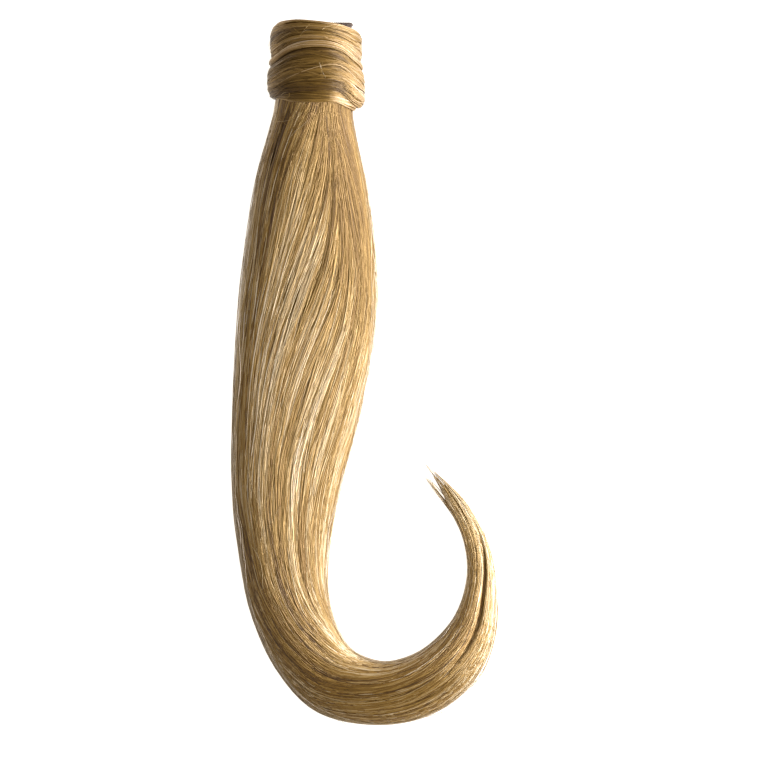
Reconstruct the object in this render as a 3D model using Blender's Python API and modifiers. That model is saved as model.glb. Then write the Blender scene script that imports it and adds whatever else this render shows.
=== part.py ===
"""A long wrap-around ponytail hairpiece, lying on a flat surface.

The mouth that closes round the wearer's own ponytail faces +Y. The hair runs towards -Y
and curls round to +X, and +Z is up off the surface. The origin is on the surface, under
the middle of the whole piece. Sizes in the tables and constants are millimetres.
"""

from math import cos, pi, radians, sin, sqrt

import bmesh
import bpy
import numpy as np
from mathutils import Vector

MM = 0.001
GAP = 0.3  # clearance between neighbouring pieces

# The head: everything that is wound or sewn round the wearer's own ponytail. It is an
# oval round an axis along Y, wider across than it is thick.
HEAD_X = -28.1
HEAD_Z = 20.0
HEAD_SIDES = 48

# The woven band that closes round the wearer's own ponytail.
BAND_HALF_WIDTH = 20.8
BAND_HALF_THICKNESS = 12.8
BAND_WALL = 1.8
BAND_MOUTH_Y = 202.8
BAND_END_Y = 166.0

# The plain comb sewn to the band's inner wall.
COMB_WIDTH = 24.0
COMB_SPINE = 5.0
COMB_TOOTH_LENGTH = 20.0
COMB_TOOTH_WIDTH = 1.5
COMB_TEETH = 7
COMB_THICKNESS = 1.5
COMB_TOP_Y = 199.0

# The collar of sewn hair that holds the band's lower end, and the waist under the wrap.
COLLAR_TOP_Y = 174.2
COLLAR_WALL = 3.2
WAIST_TOP_Y = 165.2
WAIST_HALF_WIDTH = 21.3
WAIST_HALF_THICKNESS = 13.8

# Half sizes of the wound hair: its inner face, and its crest.
UPPER_INNER = (21.1, 13.1)
UPPER_OUTER = (26.9, 19.6)
CROSS_INNER = (21.1, 13.1)
CROSS_OUTER = (27.7, 19.9)
MAIN_INNER = (24.3, 16.3)
MAIN_OUTER = (28.5, 20.4)
LOWER_INNER = (21.6, 14.1)
LOWER_OUTER = (24.0, 16.0)

# Heights of the wound hair's edges along Y, at angles round the head. Angle 0 is the right
# side, 90 the front, 180 the left side and 270 the underside.
EDGE_COLUMNS = (
    "angle", "upper_top", "cross_top", "cross_bottom", "main_bottom", "lower_bottom",
)
WINDING_EDGES = [
    (0, 198.0, 178.4, 174.8, 153.4, 151.8),
    (30, 199.6, 183.0, 179.0, 156.2, 153.6),
    (60, 202.2, 190.3, 186.3, 163.6, 156.8),
    (90, 203.7, 192.6, 188.2, 163.4, 156.8),
    (120, 204.5, 190.5, 186.2, 163.0, 157.0),
    (150, 203.4, 184.4, 180.2, 160.4, 158.0),
    (180, 201.0, 181.2, 176.8, 158.9, 158.2),
    (225, 201.4, 180.6, 176.6, 158.6, 158.2),
    (270, 201.8, 180.4, 176.6, 158.0, 157.8),
    (315, 199.4, 179.0, 175.2, 155.6, 156.0),
]
LOWER_BAND_TOP_Y = 164.9

# Sections of the wound hair, from its lower edge to its upper one. Each row is the share
# of the width from the lower edge, and the share of the thickness that the hair has there.
SECTION_COLUMNS = ("share", "thickness")
UPPER_SECTION = [
    (0.00, 0.35),
    (0.10, 0.78),
    (0.30, 0.97),
    (0.52, 1.00),
    (0.76, 0.95),
    (0.92, 0.76),
    (1.00, 0.42),
]
CROSS_SECTION = [(0.00, 0.55), (0.25, 0.90), (0.55, 1.00), (0.82, 0.92), (1.00, 0.60)]
MAIN_SECTION = [
    (0.00, 0.25),
    (0.07, 0.60),
    (0.19, 0.70),
    (0.24, 0.88),
    (0.34, 0.98),
    (0.44, 0.92),
    (0.48, 0.99),
    (0.58, 1.00),
    (0.67, 0.92),
    (0.71, 0.98),
    (0.84, 0.92),
    (0.94, 0.72),
    (1.00, 0.38),
]
LOWER_SECTION = [(0.00, 0.45), (0.18, 0.90), (0.55, 1.00), (0.90, 0.95), (1.00, 0.70)]

# Sections of the tail, from the waist under the wrap to the tip. The left and right
# columns are its two edges seen from above. top, belly and base are the heights of its
# crest, of its widest line and of its underside. flat is how soon the underside flattens.
TAIL_COLUMNS = (
    "left_x", "left_y", "right_x", "right_y", "top", "belly", "base", "flat",
)
TAIL_SECTIONS = [
    (-49.4, 156.5, -6.8, 156.5, 33.8, 20.0, 6.2, 1.0),
    (-51.8, 154.2, -6.8, 152.6, 34.0, 19.6, 5.6, 1.0),
    (-52.6, 150.0, -6.7, 149.6, 33.8, 19.0, 4.6, 1.0),
    (-55.4, 140.9, -5.2, 140.9, 32.6, 17.0, 2.2, 1.1),
    (-62.9, 113.1, 0.6, 113.1, 29.6, 13.4, 0.0, 1.2),
    (-68.7, 78.3, 5.5, 78.3, 27.0, 11.6, 0.0, 1.3),
    (-72.8, 43.5, 7.5, 43.5, 25.0, 10.6, 0.0, 1.3),
    (-75.1, 8.7, 4.1, 8.7, 23.6, 10.0, 0.0, 1.3),
    (-76.6, -26.1, -2.9, -26.1, 22.6, 9.6, 0.0, 1.3),
    (-77.0, -62.1, -11.9, -59.7, 22.2, 9.5, 0.0, 1.3),
    (-73.4, -99.8, -19.7, -96.9, 22.0, 9.5, 0.0, 1.3),
    (-64.8, -142.6, -20.9, -126.6, 22.0, 9.5, 0.0, 1.3),
    (-51.4, -171.4, -17.5, -142.9, 21.6, 9.4, 0.0, 1.3),
    (-28.9, -195.6, -8.1, -159.7, 21.0, 9.0, 0.0, 1.3),
    (3.2, -203.9, 9.6, -167.3, 20.0, 8.6, 0.0, 1.3),
    (34.9, -199.6, 28.5, -163.3, 19.0, 8.0, 0.0, 1.3),
    (60.3, -182.8, 43.1, -152.9, 17.0, 7.2, 0.0, 1.3),
    (74.1, -157.8, 53.0, -140.1, 14.0, 6.0, 0.0, 1.3),
    (76.3, -132.5, 58.1, -126.0, 11.0, 4.8, 0.0, 1.3),
    (75.4, -111.9, 59.7, -111.9, 9.0, 3.9, 0.0, 1.3),
    (72.3, -99.8, 58.7, -102.9, 7.8, 3.3, 0.0, 1.3),
    (65.8, -86.2, 55.7, -91.8, 6.4, 2.7, 0.0, 1.3),
    (58.0, -73.4, 51.6, -80.2, 5.2, 2.2, 0.0, 1.3),
    (53.3, -67.0, 48.2, -73.9, 4.4, 1.9, 0.0, 1.3),
    (46.9, -62.5, 43.9, -68.1, 3.4, 1.5, 0.0, 1.3),
    (41.0, -57.4, 39.8, -59.6, 2.2, 1.0, 0.0, 1.3),
    (37.2, -54.2, 36.8, -54.9, 1.2, 0.5, 0.0, 1.3),
]
# The thin inner lock that parts from the tip, with the same columns.
TIP_LOCK_SECTIONS = [
    (60.6, -87.4, 57.6, -89.6, 4.4, 1.9, 0.0, 1.3),
    (53.6, -76.6, 49.7, -80.6, 4.4, 1.9, 0.0, 1.3),
    (48.2, -72.4, 45.6, -75.8, 3.8, 1.7, 0.0, 1.3),
    (44.2, -68.6, 41.9, -71.0, 3.0, 1.4, 0.0, 1.3),
    (40.0, -62.9, 38.4, -64.1, 2.2, 1.0, 0.0, 1.3),
    (37.2, -60.0, 36.8, -60.4, 1.4, 0.6, 0.0, 1.3),
]
SECTION_STEP = 8.2  # distance between two sections along the hair
TAIL_LOCKS = 13
POINTS_PER_LOCK = 4
LOCK_DEPTH = 0.085  # depth of the groove between two locks, as a share of the section
LOCK_SWEEP = radians(50)  # how far the locks turn over the tail before the bend
LOCK_SWEEP_LENGTH = 300.0
LOCK_START_LENGTH = 22.0  # the locks grow out of the smooth waist over this length


def column(rows, columns, name):
    return np.array([row[columns.index(name)] for row in rows], dtype=float)


def hermite(knots, values, at):
    """Smooth curve through values at knots, read at the places in at."""
    slopes = np.gradient(values, knots, axis=0)
    place = np.clip(np.searchsorted(knots, at, side="right") - 1, 0, len(knots) - 2)
    step = knots[place + 1] - knots[place]
    t = ((at - knots[place]) / step)[:, None]
    step = step[:, None]
    start = (1 + 2 * t) * (1 - t) ** 2 * values[place] + t * (1 - t) ** 2 * step * slopes[place]
    end = t**2 * (3 - 2 * t) * values[place + 1] + t**2 * (t - 1) * step * slopes[place + 1]
    return start + end


def edge_height(name, angles):
    """Height of one edge of the wound hair at each angle in degrees, closed round the head."""
    known = column(WINDING_EDGES, EDGE_COLUMNS, "angle")
    heights = column(WINDING_EDGES, EDGE_COLUMNS, name)
    knots = np.concatenate([known - 360, known, known + 360])
    values = np.tile(heights, 3)[:, None]
    return hermite(knots, values, np.asarray(angles, dtype=float))[:, 0]


def oval_point(half_sizes, angle, y):
    """A point on an oval round the head's axis, kept off the surface below."""
    x = HEAD_X + half_sizes[0] * cos(angle)
    z = HEAD_Z + half_sizes[1] * sin(angle)
    return (x, y, max(z, 0.0))


def surface_material(name, colour, roughness):
    """A plain material, with its colour given as linear red, green and blue."""
    material = bpy.data.materials.new(name)
    material.use_nodes = True
    shader = material.node_tree.nodes["Principled BSDF"]
    shader.inputs["Base Color"].default_value = (*colour, 1.0)
    shader.inputs["Roughness"].default_value = roughness
    shader.inputs["Metallic"].default_value = 0.0
    material.diffuse_color = (*colour, 1.0)
    return material


def new_object(name, mesh, material, collection, parent=None):
    obj = bpy.data.objects.new(name, mesh)
    collection.objects.link(obj)
    obj.parent = parent
    if material is not None:
        mesh.materials.append(material)
    return obj


def mesh_from_rings(name, rings, closed):
    """Skins rings of points, given in millimetres, into one closed body.

    closed joins the last ring to the first. Otherwise a flat cap closes each end.
    """
    shape = bmesh.new()
    layers = [[shape.verts.new(Vector(point) * MM) for point in ring] for ring in rings]
    pairs = list(zip(layers, layers[1:]))
    if closed:
        pairs.append((layers[-1], layers[0]))
    else:
        shape.faces.new(layers[0])
        shape.faces.new(list(reversed(layers[-1])))
    for ring, following in pairs:
        for i in range(len(ring)):
            j = (i + 1) % len(ring)
            shape.faces.new((ring[i], following[i], following[j], ring[j]))
    bmesh.ops.recalc_face_normals(shape, faces=shape.faces)
    mesh = bpy.data.meshes.new(name)
    shape.to_mesh(mesh)
    shape.free()
    mesh.shade_smooth()
    mesh.set_sharp_from_angle(angle=radians(50))
    return mesh


def wound_hair(name, section, inner, outer, bottom, top):
    """Hair wound once round the head, between two edges that rise and fall as it goes."""
    shares = column(section, SECTION_COLUMNS, "share")
    thicknesses = column(section, SECTION_COLUMNS, "thickness")
    degrees = np.arange(HEAD_SIDES) * 360.0 / HEAD_SIDES
    bottoms = bottom(degrees)
    tops = top(degrees)
    rings = []
    for degree, low, high in zip(degrees, bottoms, tops):
        angle = radians(degree)
        ring = [oval_point(inner, angle, low), oval_point(inner, angle, high)]
        for share, thickness in zip(reversed(shares), reversed(thicknesses)):
            half_width = inner[0] + thickness * (outer[0] - inner[0])
            half_height = inner[1] + thickness * (outer[1] - inner[1])
            ring.append(
                oval_point((half_width, half_height), angle, low + share * (high - low))
            )
        rings.append(ring)
    return mesh_from_rings(name, rings, closed=True)


def section_rows(sections):
    """The table's rows, smoothed and read about every SECTION_STEP along the hair.

    Returns the rows and each row's distance from the first one.
    """
    table = np.array(sections, dtype=float)
    middles = (table[:, 0:2] + table[:, 2:4]) / 2
    strides = np.hypot(*np.diff(middles, axis=0).T)
    knots = np.concatenate([[0.0], np.cumsum(strides)])
    places = [0.0]
    for start, stride in zip(knots, strides):
        steps = max(1, round(stride / SECTION_STEP))
        places += [start + stride * (step + 1) / steps for step in range(steps)]
    places = np.array(places)
    return hermite(knots, table, places), places


def hair_section(row, grooves, turn):
    """One closed section of hair, with grooves between locks that have turned by turn."""
    left_x, left_y, right_x, right_y, top, belly, base, flat = row
    middle = Vector(((left_x + right_x) / 2, (left_y + right_y) / 2, 0.0))
    across = Vector(((right_x - left_x) / 2, (right_y - left_y) / 2, 0.0))
    count = TAIL_LOCKS * POINTS_PER_LOCK
    ring = []
    for i in range(count):
        angle = 2 * pi * i / count + turn
        in_lock = (i % POINTS_PER_LOCK) / POINTS_PER_LOCK
        reach = 1 - grooves * (1 - sin(pi * in_lock)) ** 2
        sideways = cos(angle) * reach
        height = sin(angle) * reach
        if height >= 0:
            z = belly + (top - belly) * height
        else:
            z = belly - (belly - base) * min(1.0, -height * flat)
        point = middle + across * sideways
        ring.append((point.x, point.y, max(z, 0.0)))
    return ring


def smooth_step(value):
    value = min(max(value, 0.0), 1.0)
    return value * value * (3 - 2 * value)


def hair_loft(name, sections, head_rings=()):
    rows, places = section_rows(sections)
    rings = list(head_rings)
    for row, place in zip(rows, places):
        grooves = LOCK_DEPTH * smooth_step(place / LOCK_START_LENGTH)
        turn = LOCK_SWEEP * smooth_step(place / LOCK_SWEEP_LENGTH)
        rings.append(hair_section(row, grooves, turn))
    return mesh_from_rings(name, rings, closed=False)


def head_ring(half_width, half_thickness, y):
    """A smooth oval round the head's axis, with as many points as a section of the tail."""
    count = TAIL_LOCKS * POINTS_PER_LOCK
    angles = [2 * pi * i / count for i in range(count)]
    return [
        (HEAD_X + half_width * cos(a), y, HEAD_Z + half_thickness * sin(a)) for a in angles
    ]


def build_tail(parts, cutters, material, parent):
    collar_width = UPPER_INNER[0] + COLLAR_WALL - GAP
    collar_thickness = UPPER_INNER[1] + COLLAR_WALL - GAP
    head_rings = [
        head_ring(collar_width, collar_thickness, COLLAR_TOP_Y),
        head_ring(collar_width, collar_thickness, WAIST_TOP_Y + 0.8),
        head_ring(WAIST_HALF_WIDTH, WAIST_HALF_THICKNESS, WAIST_TOP_Y),
    ]
    tail = new_object(
        "tail", hair_loft("tail", TAIL_SECTIONS, head_rings), material, parts, parent
    )
    lock = new_object("tip_lock", hair_loft("tip_lock", TIP_LOCK_SECTIONS), None, cutters)
    mark_as_guide(lock, parent)

    socket_shape = bmesh.new()
    depth = COLLAR_TOP_Y - BAND_END_Y + GAP
    bmesh.ops.create_cone(
        socket_shape, cap_ends=True, segments=HEAD_SIDES, radius1=1.0, radius2=1.0, depth=1.0
    )
    socket_mesh = bpy.data.meshes.new("collar_socket")
    socket_shape.to_mesh(socket_mesh)
    socket_shape.free()
    socket = new_object("collar_socket", socket_mesh, None, cutters)
    socket.rotation_euler = (radians(90), 0.0, 0.0)
    socket.scale = (UPPER_INNER[0] * MM, UPPER_INNER[1] * MM, 2 * depth * MM)
    socket.location = (HEAD_X * MM, COLLAR_TOP_Y * MM, HEAD_Z * MM)
    mark_as_guide(socket, parent)

    for operation, other in (("DIFFERENCE", socket), ("UNION", lock)):
        boolean = tail.modifiers.new(other.name, "BOOLEAN")
        boolean.operation = operation
        boolean.solver = "EXACT"
        boolean.object = other
    return tail


def mark_as_guide(obj, parent):
    obj.hide_render = True
    obj.display_type = "WIRE"
    obj.parent = parent


def build_base_band(parts, material, parent):
    """The band's outer face is an open oval tube, and its wall is added inwards."""
    shape = bmesh.new()
    bmesh.ops.create_cone(
        shape, cap_ends=False, segments=HEAD_SIDES, radius1=1.0, radius2=1.0, depth=1.0
    )
    for vertex in shape.verts:
        side, rise, along = vertex.co
        vertex.co = (
            side * BAND_HALF_WIDTH * MM,
            along * (BAND_MOUTH_Y - BAND_END_Y) * MM,
            rise * BAND_HALF_THICKNESS * MM,
        )
    bmesh.ops.recalc_face_normals(shape, faces=shape.faces)
    outward = sum(face.normal.dot(face.calc_center_median()) for face in shape.faces)
    if outward < 0:
        bmesh.ops.reverse_faces(shape, faces=shape.faces)
    mesh = bpy.data.meshes.new("base_band")
    shape.to_mesh(mesh)
    shape.free()
    band = new_object("base_band", mesh, material, parts, parent)
    band.location = (HEAD_X * MM, (BAND_MOUTH_Y + BAND_END_Y) / 2 * MM, HEAD_Z * MM)
    wall = band.modifiers.new("wall", "SOLIDIFY")
    wall.thickness = BAND_WALL * MM
    wall.offset = -1.0
    wall.use_even_offset = True
    mesh.shade_smooth()
    mesh.set_sharp_from_angle(angle=radians(50))
    return band


def comb_outline():
    """The comb laid flat, as x across the band and y along it, from its top left corner."""
    pitch = COMB_WIDTH / (COMB_TEETH - 0.5)
    half = COMB_WIDTH / 2
    points = [(-half + COMB_WIDTH * i / 12, 0.0) for i in range(13)]
    for tooth in reversed(range(COMB_TEETH)):
        centre = -half + pitch * (tooth + 0.25)
        side = COMB_TOOTH_WIDTH / 2
        tip = side * 0.5
        points += [
            (centre + side, -COMB_SPINE),
            (centre + side, -COMB_SPINE - COMB_TOOTH_LENGTH * 0.6),
            (centre + tip, -COMB_SPINE - COMB_TOOTH_LENGTH),
            (centre - tip, -COMB_SPINE - COMB_TOOTH_LENGTH),
            (centre - side, -COMB_SPINE - COMB_TOOTH_LENGTH * 0.6),
            (centre - side, -COMB_SPINE),
        ]
    return points


def build_comb(parts, material, parent):
    """A flat comb cut from its outline, then bent to lie on the band's inner wall."""
    outline = bpy.data.curves.new("comb_outline", "CURVE")
    outline.dimensions = "2D"
    outline.fill_mode = "BOTH"
    outline.extrude = COMB_THICKNESS / 2 * MM
    points = comb_outline()
    spline = outline.splines.new("POLY")
    spline.points.add(len(points) - 1)
    for point, (x, y) in zip(spline.points, points):
        point.co = (x * MM, y * MM, 0.0, 1.0)
    spline.use_cyclic_u = True
    flat = bpy.data.objects.new("comb_outline", outline)
    parts.objects.link(flat)
    view = bpy.context.evaluated_depsgraph_get()
    mesh = bpy.data.meshes.new_from_object(flat.evaluated_get(view))
    bpy.data.objects.remove(flat)

    shape = bmesh.new()
    shape.from_mesh(mesh)
    bmesh.ops.remove_doubles(shape, verts=shape.verts, dist=0.01 * MM)
    for vertex in shape.verts:
        x, y, z = (value / MM for value in vertex.co)
        inward = GAP + COMB_THICKNESS / 2 - z
        half_width = BAND_HALF_WIDTH - BAND_WALL - inward
        half_height = BAND_HALF_THICKNESS - BAND_WALL - inward
        lift = half_height * sqrt(1 - (x / half_width) ** 2)
        vertex.co = Vector((HEAD_X + x, COMB_TOP_Y + y, HEAD_Z + lift)) * MM
    bmesh.ops.recalc_face_normals(shape, faces=shape.faces)
    shape.to_mesh(mesh)
    shape.free()
    mesh.name = "comb"
    return new_object("comb", mesh, material, parts, parent)


def build_wraps(parts, material, parent):
    def edge(name, shift=0.0):
        return lambda degrees: edge_height(name, degrees) + shift

    def level(y):
        return lambda degrees: np.full(len(degrees), y)

    turns = [
        ("upper_wrap", UPPER_SECTION, UPPER_INNER, UPPER_OUTER,
         edge("cross_top", GAP), edge("upper_top")),
        ("cross_strand", CROSS_SECTION, CROSS_INNER, CROSS_OUTER,
         edge("cross_bottom"), edge("cross_top")),
        ("main_wrap", MAIN_SECTION, MAIN_INNER, MAIN_OUTER,
         edge("main_bottom"), edge("cross_bottom", -GAP)),
        ("lower_band", LOWER_SECTION, LOWER_INNER, LOWER_OUTER,
         edge("lower_bottom"), level(LOWER_BAND_TOP_Y)),
    ]
    for name, section, inner, outer, bottom, top in turns:
        mesh = wound_hair(name, section, inner, outer, bottom, top)
        new_object(name, mesh, material, parts, parent)


def centre_on_origin(root, objects):
    """Moves the whole piece so that its box stands centred on the origin."""
    bpy.context.view_layer.update()
    view = bpy.context.evaluated_depsgraph_get()
    corners = []
    for obj in objects:
        shown = obj.evaluated_get(view)
        mesh = shown.to_mesh()
        corners += [shown.matrix_world @ vertex.co for vertex in mesh.vertices]
        shown.to_mesh_clear()
    for axis in (0, 1):
        values = [corner[axis] for corner in corners]
        root.location[axis] = -(min(values) + max(values)) / 2
    root.location[2] = -min(corner[2] for corner in corners)


def main():
    for obj in list(bpy.data.objects):
        bpy.data.objects.remove(obj)
    parts = bpy.data.collections.new("ponytail_hairpiece")
    cutters = bpy.data.collections.new("cutters")
    for collection in (parts, cutters):
        bpy.context.scene.collection.children.link(collection)
    root = bpy.data.objects.new("hairpiece_frame", None)
    parts.objects.link(root)

    hair = surface_material("blonde_hair", (0.46, 0.30, 0.15), 0.42)
    weave = surface_material("dark_woven_elastic", (0.045, 0.028, 0.022), 0.85)
    plastic = surface_material("brown_plastic", (0.06, 0.03, 0.015), 0.35)

    build_tail(parts, cutters, hair, root)
    build_base_band(parts, weave, root)
    build_comb(parts, plastic, root)
    build_wraps(parts, hair, root)
    centre_on_origin(root, [obj for obj in parts.objects if obj.type == "MESH"])


main()
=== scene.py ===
"""A long wrap-around ponytail hairpiece, dressed strand by strand.

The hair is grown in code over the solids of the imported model: thin closed tubes follow the
tail from the wrap to the tip, and wind round the head in four turns. Tables are drawn in
millimetres, and everything is made in metres.
"""

from math import atan, cos, pi, radians, sin

import bmesh
import bpy
import numpy as np
from bpy.props import FloatProperty, FloatVectorProperty, IntProperty, PointerProperty
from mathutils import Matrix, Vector


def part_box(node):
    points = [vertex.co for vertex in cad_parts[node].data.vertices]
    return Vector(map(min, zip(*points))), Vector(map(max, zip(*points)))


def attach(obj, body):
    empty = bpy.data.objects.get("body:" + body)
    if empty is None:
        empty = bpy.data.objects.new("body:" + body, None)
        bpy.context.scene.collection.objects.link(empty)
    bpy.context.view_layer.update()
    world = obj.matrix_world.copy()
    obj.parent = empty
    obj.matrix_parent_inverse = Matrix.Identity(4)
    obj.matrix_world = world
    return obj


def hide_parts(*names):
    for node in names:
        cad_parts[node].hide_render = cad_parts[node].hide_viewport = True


bl_info = {
    "name": "Wrap-around ponytail hairpiece",
    "version": (1, 0, 0),
    "blender": (4, 5, 0),
    "location": "3D View > Sidebar > Hairpiece",
    "description": "Dresses a long false ponytail with wound hair, a woven band and a comb",
    "category": "Add Mesh",
}

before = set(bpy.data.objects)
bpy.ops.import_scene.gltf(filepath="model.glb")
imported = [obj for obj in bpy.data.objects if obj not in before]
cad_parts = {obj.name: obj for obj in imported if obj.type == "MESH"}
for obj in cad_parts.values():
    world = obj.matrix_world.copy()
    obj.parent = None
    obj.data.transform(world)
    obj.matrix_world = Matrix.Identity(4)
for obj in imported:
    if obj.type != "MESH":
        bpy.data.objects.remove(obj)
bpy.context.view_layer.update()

MM = 0.001
PHOTO_SIZE = 760
PHOTO_ORIGIN = (364.5, 373.0)
PHOTO_MM_PER_PIXEL = 0.58

# The head: everything wound or sewn round the wearer's own ponytail, on an axis along Y.
HEAD_X = -28.1
HEAD_Z = 20.0
BAND_HALF_WIDTH = 20.8
BAND_HALF_THICKNESS = 12.8
BAND_WALL = 1.8
BAND_MOUTH_Y = 202.8
BAND_END_Y = 166.0
WAIST_TOP_Y = 165.2

COMB_WIDTH = 24.0
COMB_SPINE = 5.0
COMB_TOOTH_LENGTH = 20.0
COMB_TEETH = 7
COMB_THICKNESS = 1.5
COMB_TOP_Y = 199.0
COMB_TUBE_POINTS = 25

BAND_RIBS = 22
BAND_STITCHES = 88
THREAD_RADIUS = 0.22
STITCH_POINTS = 9

TAIL_PIECES = 5
TAIL_CORE_DEPTH = 3.4
LOCK_PARTS = 5
TURN_CORE_DEPTH = 1.0
TURN_CORE_POINTS = 26
TURN_POINTS = 61
TURN_LANES = 14
LOOSE_HAIR_POINTS = 17
EDGE_HAIR_WIDTH = 0.19
LEAST_HEIGHT = 0.2

# The tables are drawn about the photo's frame. This moves them to where the model stands.
_band_low, _band_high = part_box("base_band")
DRAWN_TO_MODEL = np.array(
    [
        (_band_low[0] + _band_high[0]) / 2 / MM - HEAD_X,
        _band_high[1] / MM - BAND_MOUTH_Y,
        (_band_low[2] + _band_high[2]) / 2 / MM - HEAD_Z,
    ]
)

# Sections of the tail, from the waist under the wrap to the tip. left and right are its
# two edges seen from above. top, belly and base are the heights of its crest, of its
# widest line and of its underside. flat is how soon the underside flattens.
TAIL_COLUMNS = (
    "left_x", "left_y", "right_x", "right_y", "top", "belly", "base", "flat",
)
TAIL_SECTIONS = [
    (-51.6, 158.6, -6.8, 156.5, 33.8, 20.0, 6.2, 1.0),
    (-51.9, 154.6, -6.8, 152.6, 34.0, 19.6, 5.6, 1.0),
    (-52.9, 150.0, -6.7, 149.6, 33.8, 19.0, 4.6, 1.0),
    (-55.4, 140.9, -5.2, 140.9, 32.6, 17.0, 2.2, 1.1),
    (-62.9, 113.1, 0.6, 113.1, 29.6, 13.4, 0.0, 1.2),
    (-68.7, 78.3, 5.5, 78.3, 27.0, 11.6, 0.0, 1.3),
    (-72.8, 43.5, 7.5, 43.5, 25.0, 10.6, 0.0, 1.3),
    (-75.1, 8.7, 4.1, 8.7, 23.6, 10.0, 0.0, 1.3),
    (-76.6, -26.1, -2.9, -26.1, 22.6, 9.6, 0.0, 1.3),
    (-77.0, -62.1, -11.9, -59.7, 22.2, 9.5, 0.0, 1.3),
    (-73.4, -99.8, -19.7, -96.9, 22.0, 9.5, 0.0, 1.3),
    (-64.8, -142.6, -20.9, -126.6, 22.0, 9.5, 0.0, 1.3),
    (-51.4, -171.4, -17.5, -142.9, 21.6, 9.4, 0.0, 1.3),
    (-28.9, -195.6, -8.1, -159.7, 21.0, 9.0, 0.0, 1.3),
    (3.2, -203.9, 9.6, -167.3, 20.0, 8.6, 0.0, 1.3),
    (34.9, -199.6, 28.5, -163.3, 19.0, 8.0, 0.0, 1.3),
    (60.3, -182.8, 43.1, -152.9, 17.0, 7.2, 0.0, 1.3),
    (74.1, -157.8, 53.0, -140.1, 14.0, 6.0, 0.0, 1.3),
    (76.3, -132.5, 58.1, -126.0, 11.0, 4.8, 0.0, 1.3),
    (75.4, -111.9, 59.7, -111.9, 9.0, 3.9, 0.0, 1.3),
    (72.3, -99.8, 58.7, -102.9, 7.8, 3.3, 0.0, 1.3),
    (65.8, -86.2, 55.7, -91.8, 6.4, 2.7, 0.0, 1.3),
    (57.9, -73.6, 50.4, -81.2, 5.0, 2.1, 0.0, 1.3),
    (52.8, -68.2, 47.2, -74.0, 4.0, 1.7, 0.0, 1.3),
    (47.0, -62.7, 43.6, -66.4, 2.9, 1.2, 0.0, 1.3),
    (41.3, -57.6, 39.6, -59.6, 1.8, 0.8, 0.0, 1.3),
    (37.2, -54.2, 36.8, -54.7, 0.9, 0.4, 0.0, 1.3),
]

# How the strands turn round the tail as they go, in degrees for each millimetre. A row is
# a distance from the wrap, and the columns are angles round the section: 0 is the right
# edge, 90 the crest, 180 the left edge and 270 the underside.
FLOW_ANGLES = (0, 45, 65, 85, 110, 140, 180, 270)
FLOW = [
    (0, -0.10, -0.50, -0.15, 0.50, 1.20, 0.45, 0.00, 0.00),
    (18, -0.10, -0.45, 0.00, 0.50, 0.70, 0.25, 0.00, 0.00),
    (45, 0.00, -0.35, 0.05, 0.50, 0.35, 0.15, 0.00, 0.00),
    (78, 0.00, -0.20, 0.20, 0.50, 0.35, 0.15, 0.00, 0.00),
    (113, 0.05, 0.10, 0.35, 0.60, 0.40, 0.20, 0.05, 0.00),
    (148, 0.10, 0.25, 0.40, 0.45, 0.30, 0.15, 0.05, 0.00),
    (183, 0.10, 0.20, 0.35, 0.30, 0.15, 0.05, 0.00, 0.00),
    (218, 0.00, 0.05, 0.05, 0.05, 0.00, 0.00, 0.00, 0.00),
    (255, -0.10, -0.10, -0.10, -0.15, -0.25, -0.30, -0.30, -0.20),
    (292, -0.35, -0.50, -0.50, -0.55, -0.60, -0.60, -0.50, -0.40),
    (316, -0.50, -0.80, -0.85, -0.85, -0.85, -0.80, -0.75, -0.60),
    (342, -0.50, -0.80, -0.90, -0.90, -0.90, -0.85, -0.80, -0.60),
    (368, -0.35, -0.50, -0.60, -0.60, -0.60, -0.55, -0.50, -0.45),
    (394, -0.15, -0.25, -0.30, -0.30, -0.30, -0.25, -0.25, -0.20),
    (418, 0.00, -0.05, -0.10, -0.10, -0.10, -0.05, 0.00, 0.00),
    (440, 0.00, 0.00, 0.05, 0.20, 0.20, 0.10, 0.00, 0.00),
    (462, 0.20, 0.25, 0.30, 0.45, 0.50, 0.25, 0.00, 0.10),
    (490, 0.45, 0.50, 0.55, 0.60, 0.80, 0.50, 0.00, 0.25),
    (512, 0.30, 0.20, 0.10, 0.10, 0.20, 0.10, 0.00, 0.20),
    (560, 0.00, 0.00, 0.00, 0.00, 0.00, 0.00, 0.00, 0.00),
]

# Where two locks part on the hook: distances along the tail, the parting's angle round the
# section, and its depth.
PARTING = [
    (410, 90.0, 0.0), (424, 90.5, 0.8), (440, 92.0, 1.8), (456, 96.0, 2.6),
    (470, 101.0, 2.4), (482, 109.0, 1.8), (494, 126.0, 1.0), (510, 144.0, 0.0),
]
PARTING_FULL = 3.2
PARTING_DEPTH = 3.0
PARTING_HALF_ANGLE = 7.0

# Strands are spread evenly round the section at one of two places, near the wrap or in the
# middle of the tail: how far along that is, and the share of the strands.
MID_TAIL = 218.0
SPREAD_PLACES = ((6.0, 0.34), (MID_TAIL, 0.66))

# How closely points are set along a strand: distances along the tail, and the density.
POINT_DENSITY = [
    (0, 1.5), (25, 1.0), (60, 0.7), (230, 0.7), (270, 1.25), (420, 1.3), (545, 1.6),
]

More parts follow.
